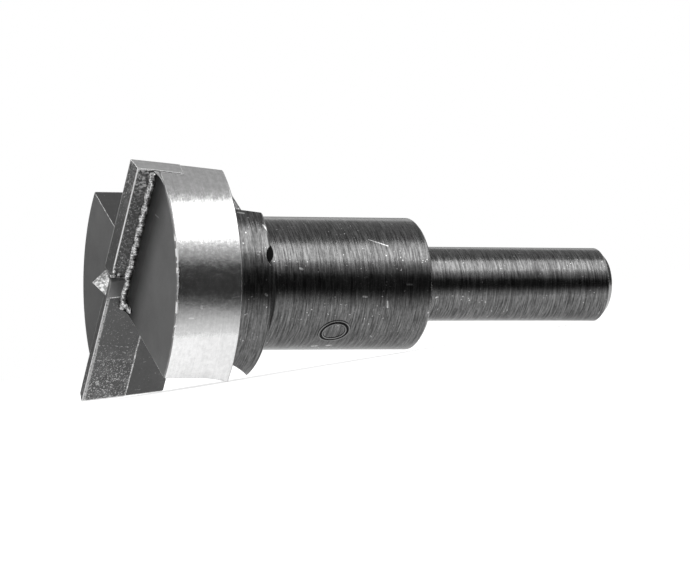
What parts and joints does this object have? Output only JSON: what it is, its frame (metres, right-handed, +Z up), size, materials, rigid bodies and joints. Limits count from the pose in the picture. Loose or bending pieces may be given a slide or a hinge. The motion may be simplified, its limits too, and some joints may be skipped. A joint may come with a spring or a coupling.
{
  "type": "hinge boring bit",
  "caption": "Flat-bottom boring bit for cup hinges: two wings with brazed carbide lips, a centring point, gullets run out through a collar, and a plain round shank.",
  "frame": {"origin": "middle of the underside of the lying bit's box, on the floor", "axes": "+X from the cutting head toward the shank's end, +Z up, the bit at rest on two wing corners and the shank's end"},
  "size_m": [0.07, 0.0348, 0.0286],
  "materials": {
    "blackened_steel": "blackened turned steel, ground bright on the outer ring of the wings",
    "carbide": "sintered carbide, ground satin",
    "braze": "thin silver braze, bright where it was ground"
  },
  "bodies": {
    "root": {"steel_body": "blackened_steel", "cutting_tip_a": "carbide", "cutting_tip_b": "carbide", "braze_seam_a": "braze", "braze_seam_b": "braze"}
  },
  "joints": []
}
